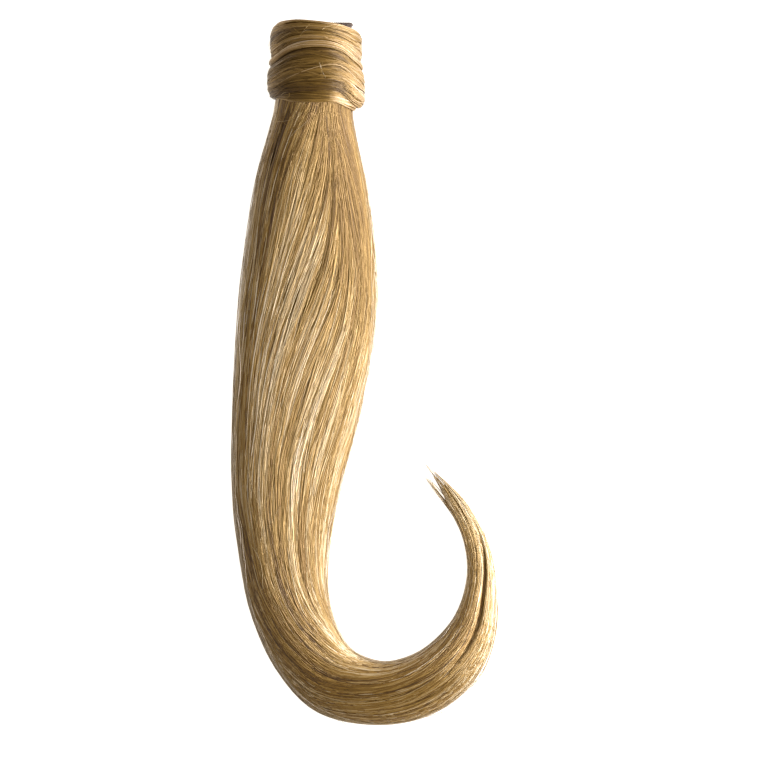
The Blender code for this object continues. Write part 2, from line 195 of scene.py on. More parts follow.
# Hairs that have come loose, drawn over the photo in its pixels: their height in
# millimetres where they lie beside the hairpiece, their width in millimetres, and the
# points they pass.
LOOSE_HAIRS = [
    (0.0, 0.25, [(294, 29), (298, 33), (303, 34.5), (309, 34)]),
    (0.0, 0.25, [(300, 37), (303, 33), (306, 29), (310, 25)]),
    (0.0, 0.25, [(303, 33), (307, 31), (313, 32)]),
    (0.0, 0.25, [(322, 31), (326, 28), (332, 26.5)]),
    (0.0, 0.25, [(324, 33), (331, 35), (338, 35)]),
    (0.0, 0.25, [(271, 58), (276, 50), (283, 43), (293, 37)]),
    (0.0, 0.25, [(277, 57), (285, 50), (296, 45), (309, 42)]),
    (0.0, 0.25, [(269, 50), (273, 43), (279, 36), (288, 30)]),
    (0.0, 0.25, [(270, 52), (276, 44), (284, 37), (296, 31)]),
    (0.0, 0.25, [(273, 55), (280, 47), (290, 41), (303, 37)]),
    (0.0, 0.25, [(268, 46), (272, 38), (280, 31), (292, 26)]),
    (0.0, 0.22, [(319.5, 63.5), (321, 68), (323, 73), (326, 79)]),
    (0.0, 0.22, [(323, 62), (321.5, 69), (322, 76), (325, 81)]),
    (0.0, 0.25, [(284, 100), (287.5, 99), (289.5, 95.5), (288, 92)]),
    (0.0, 0.25, [(281, 96), (284, 93.5), (288, 92.5)]),
    (0.0, 0.19, [(275, 112), (280, 119), (287, 126), (296, 133)]),
    (0.0, 0.19, [(272, 120), (279, 122), (288, 121), (296, 118)]),
    (0.0, 0.19, [(290, 138), (296, 131), (303, 126), (309, 119)]),
    (0.0, 0.19, [(322, 140), (327, 135), (333, 128)]),
    (0.0, 0.19, [(326, 136), (331, 142), (338, 146)]),
    (0.0, 0.19, [(318, 205), (324, 216), (333, 232), (337, 246)]),
    (0.0, 0.19, [(244, 452), (248, 470), (254, 492), (262, 514)]),
    (0.0, 0.19, [(270, 492), (264, 508), (258, 522), (255, 540)]),
    (0.0, 0.19, [(246, 500), (253, 515), (259, 531), (262, 552)]),
    (0.0, 0.19, [(281, 505), (272, 521), (263, 534), (258, 548)]),
    (0.0, 0.19, [(251, 545), (258, 556), (262, 570), (263, 590)]),
    (2.0, 0.24, [(262, 640), (280, 670), (306, 702), (333, 718), (352, 728)]),
    (3.0, 0.24, [(266, 640), (287, 674), (312, 703), (335, 716), (347, 726)]),
    (1.5, 0.24, [(272, 655), (290, 682), (314, 706), (341, 719), (352, 723)]),
    (4.0, 0.24, [(258, 622), (268, 651), (284, 680), (303, 701), (322, 715)]),
    (2.0, 0.24, [(380, 721), (410, 718), (436, 711), (457, 703)]),
    (1.5, 0.24, [(385, 722), (414, 720), (438, 714), (452, 709)]),
    (3.0, 0.24, [(400, 717), (430, 711), (455, 700), (476, 682)]),
    (5.0, 0.32, [(450, 702), (478, 680), (492, 650), (497.5, 618), (497, 590)]),
    (4.5, 0.32, [(455, 698), (480, 676), (494, 643), (498, 610), (494, 575)]),
    (4.5, 0.32, [(470, 690), (486, 665), (495, 636), (497, 606), (492, 568)]),
    (4.0, 0.32, [(492, 650), (496, 628), (497.5, 600), (495, 576)]),
    (2.5, 0.32, [(491, 560), (486, 538), (477, 515), (464, 496)]),
    (1.0, 0.5, [(461, 527), (452, 512), (441, 496), (431, 484), (425, 478)]),
    (1.0, 0.5, [(462, 530), (451, 513), (440, 498), (430, 486)]),
    (0.8, 0.5, [(459, 522), (449, 508), (439, 494), (428, 481)]),
    (0.8, 0.45, [(457, 517), (447, 504), (437, 490), (426.5, 478.5)]),
    (0.8, 0.45, [(454, 513), (445, 501), (436, 489), (428, 480.5)]),
    (0.7, 0.4, [(456, 518), (446, 505), (435, 490.5), (427, 481)]),
    (0.7, 0.4, [(452, 492), (441, 480), (431, 469.5), (424.5, 463.5)]),
    (1.4, 0.5, [(468, 548), (461, 527), (451, 508), (439, 493)]),
    (1.2, 0.5, [(467, 542), (458, 520), (448, 504), (436, 489)]),
    (1.0, 0.5, [(463, 532), (453, 513), (443, 499), (432, 485)]),
    (0.8, 0.5, [(458, 522), (448, 506), (439, 494), (429, 478)]),
    (0.8, 0.5, [(455, 512), (445, 497), (435, 485), (425, 477)]),
    (0.7, 0.5, [(450, 496), (441, 484), (432, 473), (426, 465)]),
]

# How much darker or paler the hair is painted over the tail, in the same layout: painted shade at
# the neck, where it is packed and shaded under the wrap, underneath and round the bend; paler
# painted light on the right edge below the neck and a pale painted rim on the left edge; paler
# towards the tip.
TONE_AND_PAINTED_LIGHT = [
    (0, -0.18, -0.24, -0.16, -0.20, -0.04, -0.24, 0.16, -0.10),
    (20, -0.18, -0.24, -0.16, -0.14, 0.00, -0.22, 0.18, -0.10),
    (45, -0.14, -0.22, -0.12, -0.04, 0.04, -0.14, 0.22, -0.10),
    (75, -0.06, -0.20, -0.07, 0.07, 0.08, 0.03, 0.28, -0.10),
    (110, 0.06, -0.15, -0.02, 0.10, 0.10, 0.07, 0.30, -0.10),
    (170, 0.15, 0.01, 0.06, 0.10, 0.04, 0.04, 0.24, -0.10),
    (218, 0.14, 0.02, 0.06, 0.07, -0.03, 0.02, 0.18, -0.10),
    (255, 0.09, -0.04, -0.05, -0.04, -0.09, -0.04, 0.15, -0.10),
    (300, 0.01, -0.09, -0.15, -0.16, -0.16, -0.13, 0.05, -0.10),
    (350, 0.12, 0.05, -0.04, -0.16, -0.21, -0.21, -0.03, -0.10),
    (400, 0.08, -0.06, -0.14, -0.19, -0.23, -0.21, 0.00, -0.10),
    (440, 0.09, -0.07, -0.11, -0.12, -0.07, 0.04, 0.18, -0.10),
    (470, 0.18, 0.08, 0.02, -0.02, 0.03, 0.12, 0.20, -0.10),
    (495, 0.09, 0.07, 0.04, 0.04, 0.03, 0.05, 0.08, -0.10),
    (520, 0.17, 0.17, 0.15, 0.15, 0.13, 0.13, 0.16, -0.10),
    (560, 0.25, 0.25, 0.22, 0.20, 0.18, 0.18, 0.18, 0.00),
]
# Locks that are paler or darker than the rest: their middle angle at MID_TAIL, the half
# width in degrees and the tone.
STREAKS = [
    (20, 5, -0.08), (34, 5, 0.10), (47, 4, -0.06), (60, 4, 0.10), (72, 3, -0.04),
    (80, 4, 0.10), (93, 4, -0.05), (101, 4, 0.10), (113, 4, -0.07), (121, 3, 0.12),
    (130, 3, -0.13), (138, 3, 0.12), (147, 3, -0.13), (155, 3, 0.10), (164, 4, -0.12),
    (175, 5, 0.08),
]

# Heights of the wound hair's edges along Y, at angles round the head. Angle 0 is the right
# side, 90 the front, 180 the left side and 270 the underside.
EDGE_COLUMNS = (
    "angle", "upper_top", "cross_top", "cross_bottom", "main_bottom", "lower_bottom",
)
WINDING_EDGES = [
    (0, 198.0, 178.4, 174.8, 153.4, 151.8),
    (30, 199.6, 183.0, 179.0, 156.2, 153.6),
    (60, 202.2, 190.3, 186.3, 163.6, 156.8),
    (90, 203.7, 192.6, 188.2, 163.4, 156.8),
    (120, 204.5, 190.5, 186.2, 163.0, 157.0),
    (150, 203.4, 184.4, 180.2, 160.4, 158.0),
    (180, 201.0, 181.2, 176.8, 158.9, 158.2),
    (225, 201.4, 180.6, 176.6, 158.6, 158.2),
    (270, 201.8, 180.4, 176.6, 158.0, 157.8),
    (315, 199.4, 179.0, 175.2, 155.6, 156.0),
]
LOWER_BAND_TOP_Y = 164.9

# Sections of the wound hair, from its lower edge to its upper one: the share of the width,
# and the share of the thickness that the hair has there.
UPPER_SECTION = [
    (0.00, 0.02), (0.00, 0.72), (0.10, 0.86), (0.30, 0.96), (0.52, 1.00), (0.76, 0.95),
    (0.92, 0.76), (1.00, 0.42), (1.00, 0.02),
]
CROSS_SECTION = [
    (0.00, 0.30), (0.00, 0.60), (0.20, 0.90), (0.50, 1.00), (0.80, 1.00), (1.00, 0.86),
    (1.00, 0.30),
]
MAIN_SECTION = [
    (0.00, 0.02), (0.00, 0.25), (0.07, 0.60), (0.19, 0.70), (0.24, 0.88), (0.34, 0.98),
    (0.44, 0.92), (0.48, 0.99), (0.58, 1.00), (0.67, 0.92), (0.71, 0.98), (0.84, 0.92),
    (0.94, 0.72), (1.00, 0.38), (1.00, 0.10),
]
LOWER_SECTION = [
    (0.00, 0.05), (0.00, 0.45), (0.18, 0.90), (0.55, 1.00), (0.90, 0.95), (1.00, 0.70),
]
# The hair's tone in each turn, from its lower edge to its upper one: the share of the width, and
# the tone from dark to pale. The tones hold painted light and shade: painted shade in the recesses
# and in the gaps between turns, and painted highlights on the ridges and edges.
UPPER_TONES_AND_PAINTED_LIGHT = [(0.0, 0.42), (0.15, 0.46), (0.4, 0.33), (0.6, 0.33), (0.85, 0.46), (1.0, 0.55)]
CROSS_TONES_AND_PAINTED_LIGHT = [(0.0, 0.34), (0.3, 0.5), (0.7, 0.62), (1.0, 0.54)]
MAIN_TONES_AND_PAINTED_LIGHT = [
    (0.00, 0.14), (0.19, 0.22), (0.22, 0.36), (0.30, 0.34), (0.43, 0.28), (0.46, 0.50),
    (0.52, 0.35), (0.66, 0.30), (0.69, 0.58), (0.73, 0.36), (0.90, 0.25), (1.00, 0.07),
]
LOWER_TONES_AND_PAINTED_LIGHT = [(0.0, 0.5), (0.25, 0.28), (0.6, 0.28), (1.0, 0.45)]
# One row for each turn: its node, its section, the half sizes of its inner face and of its
# crest, its two edges, how many strands it is laid with, its tones, the pale tone that a painted
# highlight raises it to at least on the right, and the cosine of the angle where that painted
# highlight starts.
TURN_COLUMNS = (
    "node", "section", "inner", "outer", "bottom", "top", "strands", "tones", "painted_highlight_tone",
    "painted_highlight_start",
)
TURNS = [
    (
        "upper_wrap", UPPER_SECTION, (21.1, 13.1), (26.9, 19.6), "cross_top", "upper_top",
        160, UPPER_TONES_AND_PAINTED_LIGHT, 0.60, 0.70,
    ),
    (
        "cross_strand", CROSS_SECTION, (21.1, 13.1), (27.3, 19.7), "cross_bottom", "cross_top",
        54, CROSS_TONES_AND_PAINTED_LIGHT, 0.66, 0.70,
    ),
    (
        "main_wrap", MAIN_SECTION, (24.3, 16.3), (28.5, 20.4), "main_bottom", "cross_bottom",
        220, MAIN_TONES_AND_PAINTED_LIGHT, 0.64, 0.70,
    ),
    (
        "lower_band", LOWER_SECTION, (21.6, 14.1), (24.0, 16.0), "lower_bottom", None,
        76, LOWER_TONES_AND_PAINTED_LIGHT, 0.62, 0.45,
    ),
]

# The hair's colours from its darkest tone to its palest, on the tail and in the wrap.
TAIL_TONES = [
    (0.00, "#4c310c"), (0.28, "#785616"), (0.52, "#a17e3f"), (0.76, "#c6ae87"), (1.00, "#f2e3d1"),
]
WRAP_TONES = [
    (0.00, "#40260a"), (0.30, "#70531b"), (0.55, "#9b783b"), (0.80, "#c8aa85"), (1.00, "#f1dfcf"),
]


def linear_colour(text):
    """An sRGB hex colour as linear red, green, blue and alpha."""
    values = [int(text[i : i + 2], 16) / 255 for i in (1, 3, 5)]
    return (*[v / 12.92 if v <= 0.04045 else ((v + 0.055) / 1.055) ** 2.4 for v in values], 1.0)


def add_node(tree, kind, settings=None, inputs=None, links=None):
    """Adds a node, sets its settings and input values, and links inputs to outputs."""
    node = tree.nodes.new(kind)
    for name, value in (settings or {}).items():
        setattr(node, name, value)
    for name, value in (inputs or {}).items():
        node.inputs[name].default_value = value
    for name, source in (links or {}).items():
        tree.links.new(source, node.inputs[name])
    return node


def new_material(name):
    """A new material, with its node tree and its shader."""
    material = bpy.data.materials.new(name)
    material.use_nodes = True
    tree = material.node_tree
    return material, tree, tree.nodes["Principled BSDF"]


def set_ramp(node, stops):
    """Gives a colour ramp its stops, as (place, sRGB hex colour) pairs."""
    ramp = node.color_ramp
    while len(ramp.elements) > 1:
        ramp.elements.remove(ramp.elements[-1])
    for i, (place, colour) in enumerate(stops):
        element = ramp.elements[0] if i == 0 else ramp.elements.new(place)
        element.position = place
        element.color = linear_colour(colour)


def blonde_hair_material(name, stops, roughness, gleam):
    """Human hair, bleached and smoothed with silicone.

    Each hair is a clear fibre with the pigment inside, so the bundle has a satin gleam
    across the strands and a warm depth between them. Tones differ from hair to hair.
    gleam is 1 on the outside, and 0 inside where the hair is packed and matt.
    """
    material, tree, shader = new_material(name)
    tone = add_node(tree, "ShaderNodeAttribute", {"attribute_name": "hair_tone"})
    ramp = add_node(tree, "ShaderNodeValToRGB", links={"Fac": tone.outputs["Fac"]})
    set_ramp(ramp, stops)
    tree.links.new(ramp.outputs["Color"], shader.inputs["Base Color"])
    shader.inputs["Roughness"].default_value = roughness
    shader.inputs["IOR"].default_value = 1.55
    shader.inputs["Metallic"].default_value = 0.5 * gleam
    shader.inputs["Specular IOR Level"].default_value = 0.2 + 0.3 * gleam
    shader.inputs["Coat Weight"].default_value = 0.4 * gleam
    shader.inputs["Coat Roughness"].default_value = roughness
    return material


def woven_elastic_material():
    """Brown polyester yarn knitted over rubber, which scatters a little grey light."""
    material, tree, shader = new_material("woven_elastic")
    place = add_node(tree, "ShaderNodeTexCoord")
    # Yarn loops of about 0.5 mm.
    yarn = add_node(
        tree, "ShaderNodeTexNoise", inputs={"Scale": 1600.0, "Detail": 3.0},
        links={"Vector": place.outputs["Object"]},
    )
    ramp = add_node(tree, "ShaderNodeValToRGB", links={"Fac": yarn.outputs["Fac"]})
    set_ramp(ramp, [(0.30, "#241812"), (0.52, "#453328"), (0.75, "#6b564a")])
    tree.links.new(ramp.outputs["Color"], shader.inputs["Base Color"])
    shader.inputs["Roughness"].default_value = 0.8
    shader.inputs["Sheen Weight"].default_value = 0.3
    shader.inputs["Sheen Roughness"].default_value = 0.5
    return material


def sewing_thread_material():
    """Twisted polyester thread, with a dull shine along its top."""
    material, _, shader = new_material("sewing_thread")
    shader.inputs["Base Color"].default_value = linear_colour("#4a382d")
    shader.inputs["Roughness"].default_value = 0.55
    return material


def moulded_acetate_material():
    """Dark tortoise acetate, moulded and tumbled smooth, with cloudy brown patches."""
    material, tree, shader = new_material("moulded_acetate")
    place = add_node(tree, "ShaderNodeTexCoord")
    # Cloudy patches of about 5 mm.
    cloud = add_node(
        tree, "ShaderNodeTexNoise", inputs={"Scale": 180.0, "Detail": 2.0},
        links={"Vector": place.outputs["Object"]},
    )
    ramp = add_node(tree, "ShaderNodeValToRGB", links={"Fac": cloud.outputs["Fac"]})
    set_ramp(ramp, [(0.35, "#2a1810"), (0.65, "#54331c")])
    tree.links.new(ramp.outputs["Color"], shader.inputs["Base Color"])
    shader.inputs["Roughness"].default_value = 0.25
    shader.inputs["IOR"].default_value = 1.48
    return material


def read_grid(table, place, angle):
    """Values of a table of rows along the tail and columns round it, at places and angles."""
    table = np.array(table, dtype=float)
    columns = np.array(FLOW_ANGLES + (360,), dtype=float)
    values = np.hstack([table[:, 1:], table[:, 1:2]])
    row = np.clip(np.searchsorted(table[:, 0], place, side="right") - 1, 0, len(table) - 2)
    down = np.clip((place - table[row, 0]) / (table[row + 1, 0] - table[row, 0]), 0, 1)
    angle = angle % 360
    column = np.clip(np.searchsorted(columns, angle, side="right") - 1, 0, len(columns) - 2)
    over = (angle - columns[column]) / (columns[column + 1] - columns[column])
    near = values[row, column] * (1 - over) + values[row, column + 1] * over
    far = values[row + 1, column] * (1 - over) + values[row + 1, column + 1] * over
    return near * (1 - down) + far * down


def read_table(knots, values, at):
    """Smooth curves through rows of values at knots, read at the places in at."""
    slopes = np.gradient(values, knots, axis=0)
    place = np.clip(np.searchsorted(knots, at, side="right") - 1, 0, len(knots) - 2)
    step = (knots[place + 1] - knots[place])[:, None]
    t = np.clip((at - knots[place])[:, None] / step, 0.0, 1.0)
    start = (1 + 2 * t) * (1 - t) ** 2 * values[place] + t * (1 - t) ** 2 * step * slopes[place]
    end = t**2 * (3 - 2 * t) * values[place + 1] + t**2 * (t - 1) * step * slopes[place + 1]
    return start + end


def wander(rng, count, places, longest, shortest):
    """Smooth wandering values of about -1 to 1, a row for each of count, at the places."""
    total = np.zeros((count,) + np.shape(places)[-1:])
    for wave in (longest, (longest * shortest) ** 0.5, shortest):
        phase = rng.uniform(0, 2 * pi, (count, 1))
        stretch = rng.uniform(0.75, 1.3, (count, 1))
        total += np.sin(2 * pi * places / (wave * stretch) + phase) * (wave / longest) ** 0.6
    return total / 1.9


class Tail:
    """The tail's sections along its length, and how strands flow over them."""

    def __init__(self):
        self.table = np.array(TAIL_SECTIONS, dtype=float)
        middles = (self.table[:, 0:2] + self.table[:, 2:4]) / 2
        strides = np.hypot(*np.diff(middles, axis=0).T)
        self.knots = np.concatenate([[0.0], np.cumsum(strides)])
        self.length = float(self.knots[-1])

    def surface(self, along, angle, depth):
        """Points on the tail, at distances along it, angles round it and depths under it.

        along, angle and depth are arrays of one shape. Angles are in degrees.
        """
        rows = read_table(self.knots, self.table, np.ravel(along))
        rows = rows.reshape(np.shape(along) + (len(TAIL_COLUMNS),))
        left_x, left_y, right_x, right_y, top, belly, base, flat = np.moveaxis(rows, -1, 0)
        half_x, half_y = (right_x - left_x) / 2, (right_y - left_y) / 2
        half = np.maximum(np.hypot(half_x, half_y), 0.05)
        turn = np.radians(angle)
        upper = np.sin(turn) >= 0
        rise = np.where(upper, top - belly, belly - base)
        normal_x, normal_z = np.cos(turn) / half, np.abs(np.sin(turn)) / np.maximum(rise, 0.05)
        length = np.hypot(normal_x, normal_z)
        room = np.minimum(half, rise)
        depth = np.minimum(depth + PARTING_DEPTH * self.parting(along, angle), 0.9 * room)
        sideways = np.cos(turn) * half - depth * normal_x / length
        drop = np.abs(np.sin(turn)) * np.where(upper, 1.0, flat)
        lift = rise * np.minimum(drop, 1.0) - depth * normal_z / length
        z = np.where(upper, belly + lift, belly - lift)
        x = (left_x + right_x) / 2 + sideways * half_x / half
        y = (left_y + right_y) / 2 + sideways * half_y / half
        return np.stack([x, y, z], axis=-1)

    @staticmethod
    def parting(along, angle):
        """How deep in the parting between two locks points are, from 0 to about 1."""
        places, angles, depths = np.transpose(PARTING)
        middle = np.interp(along, places, angles)
        away = np.abs((angle - middle + 180) % 360 - 180) / PARTING_HALF_ANGLE
        return np.interp(along, places, depths) / PARTING_FULL * np.exp(-(away**2))

    def size(self, along):
        """Half the width and half the thickness at distances along the tail."""
        rows = read_table(self.knots, self.table, np.ravel(along))
        half = np.hypot(rows[:, 2] - rows[:, 0], rows[:, 3] - rows[:, 1]) / 2
        thick = (rows[:, 4] - rows[:, 6]) / 2
        return half.reshape(np.shape(along)), thick.reshape(np.shape(along))

    def flow(self, seeds, start, places):
        """Angles of strands at the places, for strands that pass start at the seed angles."""
        angles = np.zeros((len(seeds), len(places)))
        first = int(np.argmin(np.abs(places - start)))
        angles[:, first] = seeds
        for i in range(first, len(places) - 1):
            step = places[i + 1] - places[i]
            angles[:, i + 1] = angles[:, i] + step * read_grid(FLOW, places[i], angles[:, i])
        for i in range(first, 0, -1):
            step = places[i] - places[i - 1]
            angles[:, i - 1] = angles[:, i] - step * read_grid(FLOW, places[i], angles[:, i])
        return angles


def store_tones(mesh, tones):
    """Keeps the hair's tone at each vertex, where the materials read it."""
    attribute = mesh.attributes.new("hair_tone", "FLOAT", "POINT")
    attribute.data.foreach_set("value", np.clip(np.ravel(tones), 0, 1))


def tube_mesh(name, paths, outward, radii, tones, sides=3):
    """Closed tubes along paths, in one mesh.

    paths is (strands, points, 3) in millimetres, outward is the direction out of the hair
    at each of the points, and radii and tones are (strands, points) or one value. The mesh
    keeps each point's tone, and gives each strand its own column of the UV map.
    """
    strands, points, _ = paths.shape
    radii = np.broadcast_to(radii, (strands, points))
    tones = np.broadcast_to(tones, (strands, points))
    paths = (paths + DRAWN_TO_MODEL) * MM
    tangent = np.gradient(paths, axis=1)
    tangent /= np.linalg.norm(tangent, axis=2, keepdims=True) + 1e-12
    side = np.cross(tangent, outward)
    side /= np.linalg.norm(side, axis=2, keepdims=True) + 1e-12
    up = np.cross(side, tangent)
    angles = 2 * pi * (np.arange(sides) + 0.25) / sides
    ring = (
        np.cos(angles)[None, None, :, None] * side[:, :, None, :]
        + np.sin(angles)[None, None, :, None] * up[:, :, None, :]
    )
    vertices = paths[:, :, None, :] + ring * (radii * MM)[:, :, None, None]
    normals = ring + 0.75 * up[:, :, None, :]

    strand = np.arange(strands)[:, None, None]
    point = np.arange(points - 1)[None, :, None]
    corner = np.arange(sides)[None, None, :]
    following = (corner + 1) % sides
    base = strand * points * sides
    quads = np.stack(
        [
            base + point * sides + corner,
            base + (point + 1) * sides + corner,
            base + (point + 1) * sides + following,
            base + point * sides + following,
        ],
        axis=-1,
    ).reshape(-1, 4)
    first = base[:, 0, :] + np.arange(sides)
    last = base[:, 0, :] + (points - 1) * sides + np.arange(sides)[::-1]
    caps = np.concatenate([first, last])

    column = (strand + corner / sides) / strands
    next_column = (strand + (corner + 1) / sides) / strands
    low = np.broadcast_to(point / (points - 1), (strands, points - 1, sides))
    high = np.broadcast_to((point + 1) / (points - 1), (strands, points - 1, sides))
    column = np.broadcast_to(column, low.shape)
    next_column = np.broadcast_to(next_column, low.shape)
    quad_uv = np.stack(
        [
            np.stack([column, low], axis=-1),
            np.stack([column, high], axis=-1),
            np.stack([next_column, high], axis=-1),
            np.stack([next_column, low], axis=-1),
        ],
        axis=-2,
    ).reshape(-1, 2)
    # The ends have small round places of their own in the UV map.
    round_cap = 2 * pi * np.arange(sides) / sides
    cap_u = (np.tile(np.arange(strands), 2)[:, None] + 0.5 + 0.3 * np.cos(round_cap)) / strands
    cap_v = np.repeat([0.001, 0.999], strands)[:, None] + 0.0008 * np.sin(round_cap)
    cap_uv = np.stack([cap_u, cap_v], axis=-1).reshape(-1, 2)

    mesh = bpy.data.meshes.new(name)
    mesh.vertices.add(strands * points * sides)
    mesh.vertices.foreach_set("co", vertices.ravel())
    mesh.loops.add(quads.size + caps.size)
    mesh.loops.foreach_set("vertex_index", np.concatenate([quads.ravel(), caps.ravel()]))
    starts = np.concatenate(
        [np.arange(len(quads)) * 4, len(quads) * 4 + np.arange(len(caps)) * sides]
    )
    mesh.polygons.add(len(starts))
    mesh.polygons.foreach_set("loop_start", starts)
    mesh.update(calc_edges=True)
    uv_map = mesh.uv_layers.new(name="OFBake")
    uv_map.data.foreach_set("uv", np.concatenate([quad_uv, cap_uv]).ravel())
    store_tones(mesh, np.repeat(tones, sides))
    mesh.validate()
    mesh.shade_smooth()
    # Neighbouring strands lie in one sheet, so their shading leans towards the sheet's.
    mesh.normals_split_custom_set_from_vertices(normals.reshape(-1, 3))
    return mesh


def ring_mesh(name, rings, tones, closed):
    """Skins rings of points in millimetres into one closed body, with tones or one tone."""
    shape = bmesh.new()
    shift = Vector(DRAWN_TO_MODEL)
    layers = [[shape.verts.new((Vector(p) + shift) * MM) for p in ring] for ring in rings]
    uv_map = shape.loops.layers.uv.new("OFBake")
    count = len(layers)
    pairs = [(i, i + 1) for i in range(count - 1)]
    if closed:
        pairs.append((count - 1, 0))
    else:
        shape.faces.new(layers[0])
        shape.faces.new(list(reversed(layers[-1])))
    for first, second in pairs:
        ring, following = layers[first], layers[second]
        size = len(ring)
        for i in range(size):
            j = (i + 1) % size
            face = shape.faces.new((ring[i], following[i], following[j], ring[j]))
            corners = ((first, i), (first + 1, i), (first + 1, i + 1), (first, i + 1))
            for loop, (along, around) in zip(face.loops, corners):
                loop[uv_map].uv = (0.02 + 0.96 * around / size, 0.02 + 0.9 * along / count)
    bmesh.ops.recalc_face_normals(shape, faces=shape.faces)
    mesh = bpy.data.meshes.new(name)
    shape.to_mesh(mesh)
    shape.free()
    store_tones(mesh, np.broadcast_to(tones, (count, len(rings[0]))))
    mesh.shade_smooth()
    return mesh


def add_piece(name, mesh, material, slot, *nodes):
    """Puts a piece in the scene, riding on the model and standing for its nodes."""
    piece = bpy.data.objects.new(name, mesh)
    bpy.context.scene.collection.objects.link(piece)
    mesh.materials.append(material)
    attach(piece, "root")
    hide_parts(*nodes)


def tail_lock_layout(rng, count):
    """Where locks lie round the section, as seed angles of their middles and half widths."""
    steps = rng.uniform(0.55, 1.45, count)
    edges = np.concatenate([[0.0], np.cumsum(steps)]) / np.sum(steps)
    edges = spread_round_section(edges)
    return (edges[1:] + edges[:-1]) / 2, (edges[1:] - edges[:-1]) / 2


def spread_round_section(shares):
    """Angles round a flat section, for shares of the way round its outline."""
    half_width, half_thickness = 37, 11
    fine = np.linspace(0, 360, 721)
    x, z = half_width * np.cos(np.radians(fine)), half_thickness * np.sin(np.radians(fine))
    lengths = np.concatenate([[0.0], np.cumsum(np.hypot(np.diff(x), np.diff(z)))])
    return np.interp(np.asarray(shares) * lengths[-1], lengths, fine)


def grow_tail_hair(settings):
    """Paths, radii and tones of all the tail's strands, in order round the section."""
    rng = np.random.default_rng(settings.seed)
    tail = Tail()
    grid = np.linspace(0, tail.length, 141)
    middle = np.argmin(np.abs(grid - MID_TAIL))
    pace = strand_pace(tail, settings.points)
    steps = pace * tail.length
    locks, parts = settings.locks, settings.locks * LOCK_PARTS
    paths, outwards, radii, tones, order = [], [], [], [], []
    for start, share in SPREAD_PLACES:
        count = int(settings.strands * share)
        lock_mid, lock_half = tail_lock_layout(rng, locks)
        seeds = spread_round_section(np.sort(rng.uniform(0, 1, count)))
        # Each strand belongs to a lock, and to one of the lock's parts.
        away = np.abs((seeds[:, None] - lock_mid + 180) % 360 - 180)
        lock = np.argmin(away / lock_half, axis=1)
        across_lock = np.clip((seeds - lock_mid[lock]) / lock_half[lock], -1, 1)
        sub = (lock * LOCK_PARTS + np.floor((across_lock + 1) * 2.49)).astype(int)
        flow = tail.flow(seeds, start, grid)

        reach = end_of_strands(rng, tail, count)
        along = pace[None, :] * reach[:, None] * tail.length
        place = np.clip(along / grid[1], 0, len(grid) - 1.001)
        index = place.astype(int)
        part = place - index
        row = np.arange(count)[:, None]
        angle = flow[row, index] * (1 - part) + flow[row, index + 1] * part

        # Strands sway with their lock, with their part of it and on their own.
        half, thick = tail.size(along)
        calm = np.clip(half / 16, 0.05, 1.0)
        turn = np.radians(angle)
        stretch = np.hypot(half * np.sin(turn), thick * np.cos(turn))
        sway = 1.2 * wander(rng, locks, steps, 260, 90)[lock]
        sway += 0.8 * wander(rng, parts, steps, 240, 80)[sub]
        sway += 1.3 * wander(rng, count, steps, 300, 100)
        angle = angle + np.degrees(sway * calm / np.maximum(stretch, 2.0))

        # They lie deeper between two locks, and shallower where the tail is thin.
        depth = settings.groove * np.abs(across_lock[:, None]) ** 3
        depth = depth + 0.20 * (1 + wander(rng, locks, steps, 300, 120)[lock])
        depth = depth + 0.08 * (1 + wander(rng, parts, steps, 180, 70)[sub])
        depth = depth + rng.exponential(0.15, (count, 1)) + 0.2
        depth = depth * np.clip(half / 38, 0.08, 1.0) * np.interp(along, [0, 40], [0.4, 1.0])
        path = tail.surface(along, angle, depth)
        outward = tail.surface(along, angle, depth * 0.5) - tail.surface(along, angle, depth + 0.5)

        radius = settings.strand_width / MM / 2 * rng.uniform(0.75, 1.2, (count, 1))
        taper = np.clip((1 - pace) * tail.length / 16, 0.3, 1.0)
        radius = radius * taper[None, :]
        path[..., 2] = np.maximum(path[..., 2], radius)

        # Tones vary by lock, by part and by strand, most on the left and in the bend.
        variety = 0.04 * rng.standard_normal(locks)[lock][:, None]
        variety = variety + 0.05 * rng.standard_normal(parts)[sub][:, None]
        variety = variety + 0.11 * rng.standard_normal((count, 1))
        variety = variety + 0.05 * wander(rng, count, steps, 160, 60)
        spread = np.interp(along, [0, 230, 290, 400], [0.65, 0.75, 1.2, 1.3])
        left = np.interp(angle % 360, [100, 135, 200, 230], [0.65, 1.7, 1.7, 0.65])
        variety = variety * np.maximum(spread, left) * np.clip(half / 9, 0.4, 1.0)
        streak = np.interp(along, [60, 140, 260], [0.6, 0.6, 1.0])
        for angle_at, width, shift in STREAKS:
            away = (flow[:, middle] - angle_at + 180) % 360 - 180
            variety = variety + streak * shift * np.exp(-((away / width) ** 2))[:, None]
        # The tone table adds painted light and shade over the tail.
        tone = 0.50 + variety + read_grid(TONE_AND_PAINTED_LIGHT, along, angle)
        # Painted shade: strands are darker towards the edges of their lock and in the parting
        # between two locks on the hook.
        tone = tone - 0.06 * np.abs(across_lock[:, None]) ** 3
        tone = tone - 0.4 * tail.parting(along, angle)
        tone = np.minimum(tone, 0.4 + tone / 2)
        paths.append(path)
        outwards.append(outward)
        radii.append(radius)
        tones.append(tone)
        order.append(seeds)
    sequence = np.argsort(np.concatenate(order), kind="stable")
    return [np.concatenate(part)[sequence] for part in (paths, outwards, radii, tones)]


